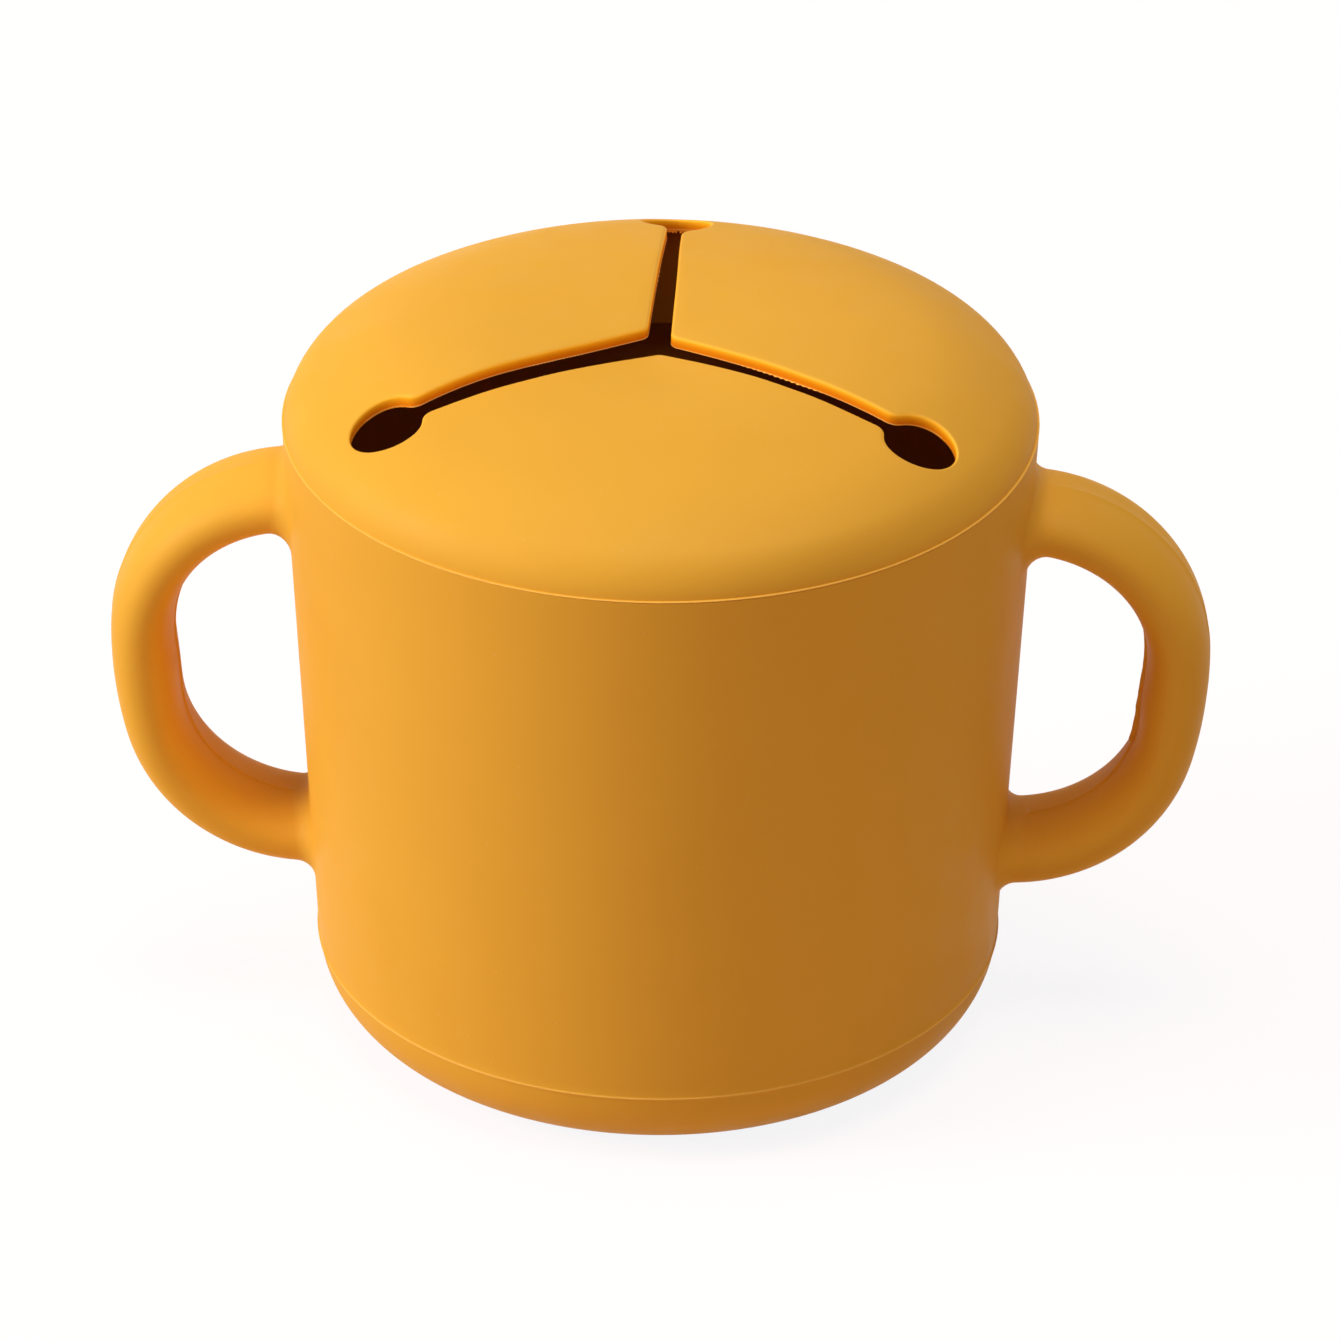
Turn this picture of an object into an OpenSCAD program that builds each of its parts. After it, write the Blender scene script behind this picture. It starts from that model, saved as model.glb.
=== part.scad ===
// Toddler snack cup: a soft silicone beaker with two moulded-in handles, and a
// soft domed lid that plugs into it. A Y-shaped slit turns the middle of the
// lid into three flaps, which let a small hand in and keep the snacks inside.
//
// Millimetres. The cup stands on z = 0 with its axis on Z. The handles point
// along X, and the single rear arm of the slit points along +Y.

/* [Cup] */
// Outside diameter at the seam under the lid
cup_d = 90; // [84:1:94]
// Height of the seam between cup and lid
seam_z = 79.5; // [76:0.5:90]
// Outside diameter where the straight wall meets the base curve
base_d = 83.4; // [80:0.2:86]
// Radius of the large curve between wall and base
base_r = 10.4; // [8:0.2:12]
// Thickness of the wall
cup_wall = 2.5; // [2:0.1:2.5]
// Thickness of the floor
floor_t = 3.6; // [2.5:0.1:6]
// Depth of the shallow dish under the base
dish_depth = 0.8; // [0.4:0.1:1.5]

/* [Handles] */
// Height of the handle's centre line where it leaves the cup at the top
handle_top_z = 68; // [66:0.5:69]
// Height of the centre line where it comes back to the cup
handle_bottom_z = 22.5; // [21:0.5:24]
// Radius of the upper bend
upper_bend_r = 18.8; // [17:0.2:20]
// Radius of the lower bend
lower_bend_r = 18.7; // [17:0.2:20]
// Radius of the slightly bowed grip between the bends
grip_bow_r = 48; // [40:1:70]
// Thickness of the grip, seen from the front
grip_t = 8; // [7:0.2:9]
// Width of the grip, seen from the side
grip_w = 15.6; // [13:0.2:17]
// Radius of the fillets where the handles grow out of the cup
root_r = 2.4; // [1.6:0.2:3]

/* [Lid] */
// Height of the crown above the seam
dome_h = 10.3; // [10:0.1:10.8]
// Thickness of the domed plate and its flaps
plate_t = 1.5; // [1.2:0.1:1.8]
// Depth of the plug skirt inside the cup
skirt_h = 9; // [6:0.5:12]
// Thickness of the plug skirt
skirt_t = 1.2; // [0.8:0.1:1.2]
// Air between the sealing ribs and the wall of the cup
rib_gap = 0.15; // [0.1:0.05:0.25]

/* [Slit] */
// Width of the three arms
slit_w = 2.3; // [1.6:0.1:3]
// Diameter of the round relief hole at the end of each arm
hole_d = 8.5; // [7:0.25:8.5]
// Distance of the relief holes from the axis
hole_at = 36; // [33:0.2:36]
// Radius that rounds the tips of the flaps
tip_r = 1.5; // [1:0.25:3]
// Radius between an arm and its relief hole
mouth_r = 1.8; // [1:0.2:2.5]
// How far the front flap droops at rest, in degrees
front_droop = 3; // [-4:0.5:4]
// How far the rear left flap droops; below 0 it stands proud
rear_left_droop = -3.5; // [-4:0.5:4]
// How far the rear right flap droops; below 0 it stands proud
rear_right_droop = -1; // [-4:0.5:4]

/* [Hidden] */
silicone = "#F0B040";
$fn = 96;
over = 1;                                       // how far cutters run past
nip = 0.006;                                    // makes touching curves cross cleanly
lap = 1;                                        // overlap of neighbouring sweeps, in degrees

// Cup: a straight cone of a wall that ends in the base curve, tangent to both.
cup_r = cup_d / 2;
taper = atan((cup_r - base_d / 2) / (seam_z - base_r));
base_top_z = base_r * (1 - sin(taper));
flat_r = base_d / 2 - base_r * cos(taper);
wall_slope = (cup_r - base_d / 2) / (seam_z - base_top_z);
function wall_at(z) = base_d / 2 + (z - base_top_z) * wall_slope;
function bore_at(z) = wall_at(z) - cup_wall;
bowl_r = 7.5;                                   // curve round the inside floor
bowl_at = [bore_at(floor_t + bowl_r) - bowl_r / cos(taper), floor_t + bowl_r];
lead_in = 0.5;                                  // chamfer inside the rim
dish_r = 24;
dish_slope = 2;
bead_r = 0.3;                                   // raised line of a mould joint
bead_sink = 0.12;

// Handle: the centre line is three arcs that join without a corner. The upper
// and lower bends lie inside the circle of the bowed grip and touch it.
upper_bend_x = 43.5;
lower_bend_x = 42.8;
upper_bend = [upper_bend_x, handle_top_z - upper_bend_r];
lower_bend = [lower_bend_x, handle_bottom_z + lower_bend_r];
bends_apart = norm(upper_bend - lower_bend);
to_upper = (upper_bend - lower_bend) / bends_apart;
bow_up = (pow(bends_apart, 2) + pow(grip_bow_r - lower_bend_r, 2)
          - pow(grip_bow_r - upper_bend_r, 2)) / (2 * bends_apart);
bow_back = sqrt(pow(grip_bow_r - lower_bend_r, 2) - bow_up * bow_up);
grip_bow = lower_bend + bow_up * to_upper + bow_back * [-to_upper[1], to_upper[0]];
function slope_of(v) = atan2(v[1], v[0]);
upper_turn = slope_of(upper_bend - grip_bow);
lower_turn = slope_of(lower_bend - grip_bow);

// The grip's section is an oval of four arcs: two small ends, two broad faces.
end_r = 2.8;
end_at = grip_w / 2 - end_r;
face_r = (pow(end_at, 2) + pow(grip_t / 2, 2) - pow(end_r, 2)) / (grip_t - 2 * end_r);
face_at = face_r - grip_t / 2;
face_turn = atan2(end_at, face_at);

// Lid: the outside swells from the crown to the seam in four arcs, each with
// its radius and the slope at which it hands over to the next. The radii grow
// with the lid.
dome_shares = [6.22, 0.844, 0.322, 0.0767];
lid_radii = dome_shares * cup_d;
lid_slopes = [0, 2.1, 10.8, 31, 90];
wedge_lap = 3;
function heading(a) = [sin(a), cos(a)];
function lid_centre(i) = i == 0 ? [0, seam_z + dome_h - lid_radii[0]]
    : lid_centre(i - 1) + (lid_radii[i - 1] - lid_radii[i]) * heading(lid_slopes[i]);
rib_stand = 0.3;                                // how far the ribs stand out
skirt_gap = rib_gap + rib_stand;
skirt_out = [bore_at(seam_z) - skirt_gap, bore_at(seam_z - skirt_h) - skirt_gap];
skirt_in = skirt_out[1] - skirt_t;
rib_r = 0.5;
rib_drops = [2.6, 6];                           // sealing ribs, below the seam

// Slit: it is drawn for a flap that points along +X, and turned into place. The
// flaps bend about the chords that join the relief holes. The living hinge is a
// barrel round the chord, cut with a thin gap on the lid's side.
thirds = [0, 120, 240];
arm_turn = 60;                                  // arms lie midway between the flaps
front_turn = 270;
rear_left_turn = 150;
rear_right_turn = 30;
chord = hole_at / 2;
chord_end = hole_at * sin(arm_turn);
hinge_drop = 2.2;                               // axis below the crown
hinge_z = seam_z + dome_h - hinge_drop;
hinge_r = 2.1;
hinge_gap = 0.2;

// ------------------------------------------------------------------ cup body

module cup_outline() {
    polygon([[0, 0], [flat_r, 0], [flat_r, base_r], [base_d / 2, base_top_z],
             [cup_r, seam_z], [0, seam_z]]);
    translate([flat_r, base_r]) circle(base_r);
    translate([base_d / 2 - bead_sink, base_top_z]) circle(bead_r);
}

module cup_hollow() {
    polygon([[0, floor_t], [bowl_at[0], floor_t], bowl_at,
             bowl_at + bowl_r * [cos(taper), -sin(taper)],
             [bore_at(seam_z - lead_in), seam_z - lead_in],
             [bore_at(seam_z) + lead_in, seam_z],
             [bore_at(seam_z) + lead_in, seam_z + over], [0, seam_z + over]]);
    translate(bowl_at) circle(bowl_r);
}

module base_dish() {
    polygon([[0, -over], [dish_r, -over], [dish_r, 0],
             [dish_r - dish_slope, dish_depth], [0, dish_depth]]);
}

module cup_body() {
    color(silicone)
    rotate_extrude() difference() {
        cup_outline();
        cup_hollow();
        base_dish();
    }
}

// ------------------------------------------------------------------- handles

// Section of the grip: X is outwards from the bend, Y is across the handle.
module grip_oval(grow) {
    for (s = [-1, 1]) translate([0, s * end_at]) circle(end_r + grow + nip);
    intersection() {
        translate([-face_at, 0]) circle(face_r + grow);
        translate([face_at, 0]) circle(face_r + grow);
        square([2 * grip_t, 2 * (end_at + end_r * sin(face_turn))], center = true);
    }
}

// A piece of the handle: the oval swept about `centre`, from slope a0 to a1.
module grip_arc(centre, r, a0, a1, grow = 0) {
    translate([centre[0], 0, centre[1]])
    rotate([90, 0, 0]) rotate([0, 0, a0])
    rotate_extrude(angle = a1 - a0)
        translate([r, 0]) grip_oval(grow);
}

// The same oval as points, each with the direction that faces away from it.
steps = 8;
function arc_points(c, r, a0, a1) =
    [for (i = [0:steps - 1]) let (a = a0 + (a1 - a0) * i / steps)
        [c[0] + r * cos(a), c[1] + r * sin(a), a]];
oval_points = concat(
    arc_points([-face_at, 0], face_r, -face_turn, face_turn),
    arc_points([0, end_at], end_r, face_turn, 180 - face_turn),
    arc_points([face_at, 0], face_r, 180 - face_turn, 180 + face_turn),
    arc_points([0, -end_at], end_r, 180 + face_turn, 360 - face_turn));

// Root of the handle, where the oval flares into the wall of the cup. `side`
// is 1 for the upper bend and -1 for the lower. The rings follow the bend, and
// each point moves out by a fillet's curve as it comes down to the wall.
root_skin = 0.06;                               // keeps the grip's end inside the root
root_depths = [-0.71, -0.5, -0.33, -0.17, 0, 0.17, 0.37, 0.62, 0.92, 1.25] * root_r;
function fillet(gap) = gap >= root_r ? 0 : gap <= 0 ? root_r
    : root_r - sqrt(pow(root_r, 2) - pow(root_r - gap, 2));
function root_x(i, z) = wall_at(z) + root_depths[i];
function bend_angle(x, bend, r) = x > bend[0] ? asin((x - bend[0]) / r) : 0;
function root_point(p, x, bend, r, side) =
    let (b = bend_angle(x, bend, r),
         at = [x, bend[1] + side * r * cos(b)],
         out = [sin(b), side * cos(b)],
         foot = at + p[0] * out,
         gap = foot[0] - sqrt(pow(wall_at(foot[1]), 2) - pow(p[1], 2)),
         grow = fillet(gap) + root_skin,
         end = at + (p[0] + grow * cos(p[2])) * out)
    [end[0], p[1] + grow * sin(p[2]), end[1]];

module grip_root(bend, r, side) {
    z = bend[1] + side * r;
    rings = len(root_depths);
    n = len(oval_points);
    points = [for (i = [0:rings - 1]) for (p = oval_points)
        root_point(p, root_x(i, z), bend, r, side)];
    sides = [for (i = [0:rings - 2]) for (j = [0:n - 1])
        let (k = (j + 1) % n) [i * n + j, i * n + k, (i + 1) * n + k, (i + 1) * n + j]];
    caps = [[for (j = [n - 1:-1:0]) j], [for (j = [0:n - 1]) (rings - 1) * n + j]];
    faces = concat(sides, caps);
    polyhedron(points, side > 0 ? faces : [for (f = faces) [for (j = [len(f) - 1:-1:0]) f[j]]],
               convexity = 4);
}

// The bends run on a little way inside the grip and inside the roots, which are
// a hair thicker, so that every surface ends on a clean edge.
module handle() {
    last = len(root_depths) - 1;
    top_root = bend_angle(root_x(last, handle_top_z), upper_bend, upper_bend_r);
    bottom_root = bend_angle(root_x(last, handle_bottom_z), lower_bend, lower_bend_r);
    difference() {
        union() {
            grip_root(upper_bend, upper_bend_r, 1);
            grip_arc(upper_bend, upper_bend_r, upper_turn - lap, 90 - top_root + lap);
            grip_arc(grip_bow, grip_bow_r, lower_turn, upper_turn, nip);
            grip_arc(lower_bend, lower_bend_r, bottom_root - 90 - lap, lower_turn + lap);
            grip_root(lower_bend, lower_bend_r, -1);
        }
        cylinder(h = seam_z, r1 = wall_at(0), r2 = wall_at(seam_z));
    }
}

module handle_right() {
    color(silicone) handle();
}

module handle_left() {
    color(silicone) mirror([1, 0, 0]) handle();
}

// ----------------------------------------------------------------------- lid

// Everything under the dome, down to the seam. `inset` moves the skin inwards.
// Each arc is a disc, cut to the wedge between its two slopes.
module dome_outline(inset = 0) {
    for (i = [0:3]) intersection() {
        translate(lid_centre(i)) circle(lid_radii[i] - inset + i * nip);
        polygon([lid_centre(i),
                 lid_centre(i) + 2 * lid_radii[i] * heading(lid_slopes[i + 1]),
                 lid_centre(i) + 2 * lid_radii[i] * heading(max(0, lid_slopes[i] - wedge_lap))]);
        translate([0, seam_z]) square([cup_d, dome_h]);
    }
}

module skirt_outline() {
    foot_z = seam_z - skirt_h;
    polygon([[skirt_in - over, foot_z], [skirt_out[1] - lead_in, foot_z],
             [skirt_out[1], foot_z + lead_in], [skirt_out[0], seam_z + over],
             [skirt_in - over, seam_z + over]]);
    for (drop = rib_drops)
        translate([bore_at(seam_z - drop) - rib_gap - rib_r, seam_z - drop]) circle(rib_r);
}

module lid_hollow() {
    intersection() {
        dome_outline(plate_t);
        translate([0, seam_z]) square([skirt_in, dome_h]);
    }
    translate([0, seam_z - skirt_h - over]) square([skirt_in, skirt_h + 2 * over]);
}

module lid_moulding() {
    rotate_extrude() difference() {
        union() {
            dome_outline();
            skirt_outline();
            translate([cup_r - bead_sink, seam_z + bead_r]) circle(bead_r);
            translate([cup_r - over, seam_z]) square([over - bead_sink, bead_r]);
        }
        lid_hollow();
    }
}

// Plan of the slit: three arms, the relief holes at their ends, the curves
// between an arm and its hole, and the rounded tips of the flaps.
module slit_plan() {
    wall_y = slit_w / 2;
    mouth_y = wall_y + mouth_r;
    mouth_x = hole_at - sqrt(pow(hole_d / 2 + mouth_r, 2) - pow(mouth_y, 2));
    for (a = thirds) rotate(a + arm_turn) {
        translate([0, -wall_y]) square([hole_at, slit_w]);
        translate([hole_at, 0]) circle(d = hole_d);
        difference() {
            polygon([[hole_at, 0], [mouth_x, mouth_y], [mouth_x, -mouth_y]]);
            for (s = [-1, 1]) translate([mouth_x, s * mouth_y]) circle(mouth_r + nip);
        }
    }
    tip_at = (wall_y + tip_r) / sin(arm_turn);
    difference() {
        circle(r = tip_at, $fn = 3);
        for (a = thirds) rotate(a) translate([tip_at, 0]) circle(tip_r + nip);
    }
}

module above_seam() {
    translate([0, 0, seam_z + over]) linear_extrude(dome_h + over) children();
}

// The bending line of one flap, as a barrel along the chord.
module hinge_barrel(r) {
    translate([chord, 0, hinge_z]) rotate([90, 0, 0])
        cylinder(h = 2 * chord_end, r = r, center = true);
}

// The lid without its flaps: the triangle between the centres of the three
// relief holes is left out, and each side of it has a groove for a hinge.
module lid() {
    color(silicone)
    rotate(rear_right_turn) difference() {
        lid_moulding();
        above_seam() {
            slit_plan();
            rotate(arm_turn) circle(r = hole_at, $fn = 3);
        }
        for (a = thirds) rotate(a) hinge_barrel(hinge_r + hinge_gap);
    }
}

// One flap: a third of that triangle, with the barrel of its hinge. It is bent
// down about the hinge by `droop`.
module flap(droop) {
    translate([chord, 0, hinge_z]) rotate([0, -droop, 0]) translate([-chord, 0, -hinge_z])
    difference() {
        intersection() {
            lid_moulding();
            union() {
                above_seam() polygon([[0, 0], [chord, -chord_end], [chord, chord_end]]);
                hinge_barrel(hinge_r);
            }
        }
        above_seam() slit_plan();
    }
}

module flap_front() {
    color(silicone) rotate(front_turn) flap(front_droop);
}

module flap_rear_left() {
    color(silicone) rotate(rear_left_turn) flap(rear_left_droop);
}

module flap_rear_right() {
    color(silicone) rotate(rear_right_turn) flap(rear_right_droop);
}

cup_body();
handle_left();
handle_right();
lid();
flap_front();
flap_rear_left();
flap_rear_right();
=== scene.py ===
# %% [markdown]
# # A silicone snack cup for a toddler
#
# The object is two soft mouldings in honey-yellow silicone: a cup with two
# handles that grow out of its wall, and a domed lid that plugs into it. A
# Y-shaped slit turns the middle of the lid into three flaps. Moulded silicone
# has no sharp edges and no separate trim, so the whole lesson is about clean
# round shapes that run into each other: lathed walls, swept handles with
# fillets at their roots, and a thin dome with softly rounded cuts.
#
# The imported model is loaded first. It is the fixed frame: every new piece is
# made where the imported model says, in metres, with Z up and the cup's axis on Z.

# %% Load the frame
import math

import bmesh
import bpy
import numpy as np
from mathutils import Matrix, Vector, noise


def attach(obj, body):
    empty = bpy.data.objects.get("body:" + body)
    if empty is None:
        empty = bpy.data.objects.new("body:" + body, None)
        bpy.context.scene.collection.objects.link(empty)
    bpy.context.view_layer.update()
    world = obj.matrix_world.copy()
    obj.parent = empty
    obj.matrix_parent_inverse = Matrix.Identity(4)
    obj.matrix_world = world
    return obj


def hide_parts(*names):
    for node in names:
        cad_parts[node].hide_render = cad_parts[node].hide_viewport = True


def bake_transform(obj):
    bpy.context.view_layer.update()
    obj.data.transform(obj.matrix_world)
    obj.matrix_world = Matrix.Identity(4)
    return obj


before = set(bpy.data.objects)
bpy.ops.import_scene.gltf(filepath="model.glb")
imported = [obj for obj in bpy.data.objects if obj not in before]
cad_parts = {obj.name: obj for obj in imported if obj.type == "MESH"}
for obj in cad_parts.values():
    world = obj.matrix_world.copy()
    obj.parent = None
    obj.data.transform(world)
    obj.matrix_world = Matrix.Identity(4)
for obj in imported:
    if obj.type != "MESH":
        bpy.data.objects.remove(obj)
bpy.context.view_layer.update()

# %% [markdown]
# ## Sizes
#
# The driving sizes are the ones a mould maker would read off the drawing, in
# millimetres. The wall is a straight cone, tangent to a large curve at the
# base. They are turned into metres at the last moment, where points are placed.

# %% Driving sizes
MM = 0.001
CUP_R = 45.0             # outside radius at the seam under the lid
SEAM_Z = 79.5            # height of that seam
BASE_R = 41.7            # radius where the wall meets the base curve
BASE_CURVE = 10.4        # radius of the base curve
WALL = 2.5               # how thick the wall is
FLOOR = 3.6              # height of the bowl's floor, from the table
TAPER = math.atan((CUP_R - BASE_R) / (SEAM_Z - BASE_CURVE))
BASE_Z = BASE_CURVE * (1 - math.sin(TAPER))
STAND_R = BASE_R - BASE_CURVE * math.cos(TAPER)


def wall_radius(z):
    """Outside radius of the straight wall at height z."""
    return BASE_R + (z - BASE_Z) * (CUP_R - BASE_R) / (SEAM_Z - BASE_Z)


print(f"wall leans {math.degrees(TAPER):.2f} degrees, base curve ends at z {BASE_Z:.2f}")

# %% [markdown]
# ## Working by hand, in code
#
# A modeller at the screen draws a line vertex by vertex, picks faces with the
# mouse and cleans up at the end. These helpers do the same with operators. A
# face is picked by where its centre lies, because its number would change with
# every edit.

# %% Small helpers for selecting and placing
SAME_PLACE = 0.002       # points closer than this are the same point
MERGE = 0.004            # vertices closer than this become one


def start_mesh(name):
    """A new object that holds one vertex, ready to be extruded."""
    bpy.ops.object.select_all(action="DESELECT")
    bpy.ops.mesh.primitive_plane_add(size=MM)
    ob = bpy.context.object
    ob.name = ob.data.name = name
    bpy.ops.object.mode_set(mode="EDIT")
    bpy.ops.mesh.select_all(action="SELECT")
    bpy.ops.mesh.merge(type="CENTER")
    return ob


def draw_line(name, points):
    """Extrudes one vertex through the points (r, z) in mm, in the XZ plane."""
    ob = start_mesh(name)
    last = Vector((0, 0, 0))
    for i, (r, z) in enumerate(points):
        point = Vector((r, 0, z)) * MM
        if i:
            bpy.ops.mesh.extrude_region_move(
                TRANSFORM_OT_translate={"value": point - last})
        else:
            bpy.ops.transform.translate(value=point)
        last = point
    return ob


def arc(centre, radius, first, last, steps):
    """Points (r, z) on an arc; angles in degrees from the +r direction."""
    turns = [math.radians(first + (last - first) * i / steps) for i in range(steps + 1)]
    return [(centre[0] + radius * math.cos(t), centre[1] + radius * math.sin(t))
            for t in turns]


def straight(start, end, steps):
    """Points on a straight line, without its start."""
    return [(start[0] + (end[0] - start[0]) * i / steps,
             start[1] + (end[1] - start[1]) * i / steps) for i in range(1, steps + 1)]


def select_faces(test):
    """In edit mode, selects the faces whose centre passes the test."""
    mesh = bmesh.from_edit_mesh(bpy.context.object.data)
    bpy.ops.mesh.select_all(action="DESELECT")
    bpy.ops.mesh.select_mode(type="FACE")
    count = 0
    for face in mesh.faces:
        if test(face.calc_center_median() / MM):
            face.select_set(True)
            count += 1
    bmesh.update_edit_mesh(bpy.context.object.data)
    return count


def merge_doubles():
    """In edit mode, makes one vertex of those that lie in the same place."""
    bpy.ops.mesh.select_mode(type="VERT")
    bpy.ops.mesh.select_all(action="SELECT")
    bpy.ops.mesh.remove_doubles(threshold=MERGE * MM)


def open_edges(ob):
    """How many edges of the mesh don't have a face on either side."""
    mesh = bmesh.new()
    mesh.from_mesh(ob.data)
    count = sum(1 for edge in mesh.edges if len(edge.link_faces) != 2)
    mesh.free()
    return count


def finish_shading(ob, angle):
    """Merges doubles, turns the faces outwards and shades the piece smooth, but
    for edges sharper than the angle."""
    bpy.ops.object.mode_set(mode="EDIT")
    merge_doubles()
    bpy.ops.mesh.normals_make_consistent(inside=False)
    bpy.ops.object.mode_set(mode="OBJECT")
    bpy.ops.object.shade_smooth_by_angle(angle=math.radians(angle))
    print(f"{ob.name}: {len(ob.data.polygons)} faces, {open_edges(ob)} edges without two faces")


# %% [markdown]
# ## The cup
#
# The cup is a body of revolution, so it is drawn as one line from the dish
# under the base, round the outside, over the rim and down the inside, and spun
# about the axis. The alternative, a cylinder with a Solidify modifier, would
# not give the large base curve, the bowl inside or the thin raised line where
# the two halves of the mould meet, just above that curve.
#
# Rows of vertices are wanted at fixed heights, because a rectangle of faces is
# cut out of the wall for each root of a handle.

# %% The outside of the cup
ROOT_HALF = 8.6          # half height of the rectangle that a root takes up
ROOT_ROWS = 10           # rows of faces in that rectangle
TOP_ROOT_Z = 68.0        # height of the handle's centre line at the wall
LOW_ROOT_Z = 22.5        # and of its other end
DISH = 0.8               # the hollow under the base, which leaves a ring to stand on
FLASH = 0.15             # how far the mould's parting line stands proud
BEAD_HALF = 0.24         # half the height of that line


def wall_rows(low, high, rows):
    """Points up the straight wall, without the lowest."""
    return [(wall_radius(z), z) for _, z in straight((0, low), (0, high), rows)]


def parting_bead(r, z):
    """A thin raised line on the wall, from below z to above it."""
    return [(r + 0.02, z - 0.16), (r + FLASH, z - 0.08), (r + FLASH + 0.02, z + 0.03),
            (r + 0.03, z + 0.16), (wall_radius(z + BEAD_HALF), z + BEAD_HALF)]


bead_turn = math.degrees(math.asin(BEAD_HALF / BASE_CURVE))
base_arc = arc((STAND_R, BASE_CURVE), BASE_CURVE, -90, -math.degrees(TAPER) - bead_turn, 30)
outside = [(r, DISH) for r in (0, 7, 14, 19, 21.6)]
outside += [(22.2, DISH - 0.08), (23.7, 0.1), (24.3, 0), (27.5, 0)]
outside += base_arc + parting_bead(BASE_R, BASE_Z)
outside += wall_rows(BASE_Z + BEAD_HALF, LOW_ROOT_Z - ROOT_HALF, 3)
outside += wall_rows(LOW_ROOT_Z - ROOT_HALF, LOW_ROOT_Z + ROOT_HALF, ROOT_ROWS)
outside += wall_rows(LOW_ROOT_Z + ROOT_HALF, TOP_ROOT_Z - ROOT_HALF, 12)
outside += wall_rows(TOP_ROOT_Z - ROOT_HALF, TOP_ROOT_Z + ROOT_HALF, ROOT_ROWS)
outside += wall_rows(TOP_ROOT_Z + ROOT_HALF, SEAM_Z - 0.2, 2)
print(f"the outside has {len(outside)} points")

# %% The rim and the bowl
BOWL = 7.5               # radius of the curve at the bottom of the bowl
RIM_R = CUP_R - WALL     # inside radius at the rim
rim = [(CUP_R - 0.01, SEAM_Z - 0.09), (CUP_R - 0.06, SEAM_Z - 0.03),
       (CUP_R - 0.3, SEAM_Z - 0.02), (RIM_R + 0.7, SEAM_Z - 0.03),
       (RIM_R + 0.42, SEAM_Z - 0.15), (RIM_R - 0.02, SEAM_Z - 0.6)]
bowl_z = FLOOR + BOWL
bowl_r = wall_radius(bowl_z) - WALL - BOWL / math.cos(TAPER)
bowl = straight(rim[-1], (wall_radius(bowl_z) - WALL, bowl_z + 0.3), 16)
bowl += arc((bowl_r, bowl_z), BOWL, -math.degrees(TAPER), -90, 16)
bowl += straight((bowl_r, FLOOR), (0, FLOOR), 5)
print(f"the rim and the bowl have {len(rim + bowl)} points")

# %% Spin the outline
SPIN_STEPS = 240
cup = draw_line("cup", outside + rim + bowl)
bpy.ops.mesh.select_all(action="SELECT")
bpy.ops.mesh.spin(steps=SPIN_STEPS, angle=math.tau, center=(0, 0, 0), axis=(0, 0, 1))
merge_doubles()
bpy.ops.mesh.normals_make_consistent(inside=False)
print(f"the spun cup has {len(bmesh.from_edit_mesh(cup.data).faces)} faces")

# %% [markdown]
# ## The handles
#
# Each handle is a flat-sided oval swept along three arcs: an upper bend, a
# slightly bowed grip and a lower bend. On the real cup they are moulded in one
# piece with the wall, and a soft fillet runs round each root. A Boolean union
# would leave a hard crease there. So a rectangle of faces is taken out of the
# wall, and its edge loop is extruded ring by ring: across the wall, up the
# fillet, along the handle, down the other fillet and back onto the wall. The
# last ring lands on the vertices of the lower rectangle and is merged with it.

# %% The line of a handle
UPPER, UPPER_R = (43.5, TOP_ROOT_Z - 18.8), 18.8     # centre and radius of the upper bend
LOWER, LOWER_R = (42.8, LOW_ROOT_Z + 18.7), 18.7
BOW_R = 48.0             # the grip's bow, which touches both bends
apart = math.dist(UPPER, LOWER)
up = ((UPPER[0] - LOWER[0]) / apart, (UPPER[1] - LOWER[1]) / apart)
bow_up = (apart ** 2 + (BOW_R - LOWER_R) ** 2 - (BOW_R - UPPER_R) ** 2) / (2 * apart)
bow_back = math.sqrt((BOW_R - LOWER_R) ** 2 - bow_up ** 2)
BOW = (LOWER[0] + bow_up * up[0] - bow_back * up[1],
       LOWER[1] + bow_up * up[1] + bow_back * up[0])
UPPER_TURN = math.degrees(math.atan2(UPPER[1] - BOW[1], UPPER[0] - BOW[0]))
LOWER_TURN = math.degrees(math.atan2(LOWER[1] - BOW[1], LOWER[0] - BOW[0]))
print(f"the grip's bow is centred at {BOW[0]:.2f}, {BOW[1]:.2f}")

# %% [markdown]
# The section is a rounded oblong, which lies in the hand better than a round
# bar. Each of its points faces one vertex of the rectangle in the wall, so the
# two loops can be joined without a twist. The mould's parting line runs along
# the middle of both faces, as a narrow ridge.

# %% The section of a handle
GRIP_T, GRIP_W = 8.0, 15.6   # across the bend, and along the cup's round
SQUARENESS = 2.25        # 2 would be an ellipse, and more is squarer
RIDGE = 0.13             # half width of the parting line, and its plain height
RIDGE_IN = 1.35          # how much prouder it is on the side towards the cup
RIDGE_OUT = 0.55         # and on the side away from it
HALF_STEPS = 11          # half width of the rectangle, in spin steps
STEP = math.tau / SPIN_STEPS


def rectangle(centre_z):
    """The rectangle's outline as (azimuth step, height), anticlockwise."""
    low, high = centre_z - ROOT_HALF, centre_z + ROOT_HALF
    rise = (high - low) / ROOT_ROWS
    loop = [(HALF_STEPS, low + rise * i) for i in range(ROOT_ROWS)]
    loop += [(HALF_STEPS - i, high) for i in range(2 * HALF_STEPS)]
    loop += [(-HALF_STEPS, high - rise * i) for i in range(ROOT_ROWS)]
    loop += [(-HALF_STEPS + i, low) for i in range(2 * HALF_STEPS)]
    return loop


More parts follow.
